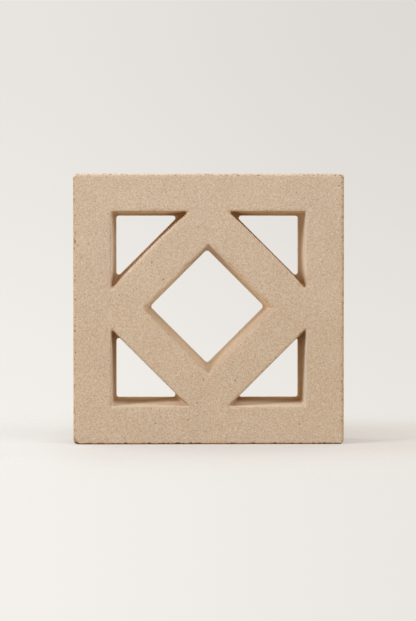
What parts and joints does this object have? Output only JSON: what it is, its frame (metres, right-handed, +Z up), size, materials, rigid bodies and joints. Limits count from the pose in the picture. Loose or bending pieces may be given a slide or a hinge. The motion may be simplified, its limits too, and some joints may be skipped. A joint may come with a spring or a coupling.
{
  "type": "decorative screen block",
  "caption": "Square cast-concrete screen block: a flat frame round a diamond lattice with tapered openings, for walls that let light and air through.",
  "frame": {"origin": "middle of the underside, on the floor that the block stands on", "axes": "+Z up; +X to the right seen from the front; the front face, with the wider ends of the openings, looks along -Y"},
  "size_m": [0.29, 0.09, 0.29],
  "materials": {
    "cast_concrete": "matte, sandy cast concrete, tan"
  },
  "bodies": {
    "root": {"screen_block": "cast_concrete"}
  },
  "joints": []
}
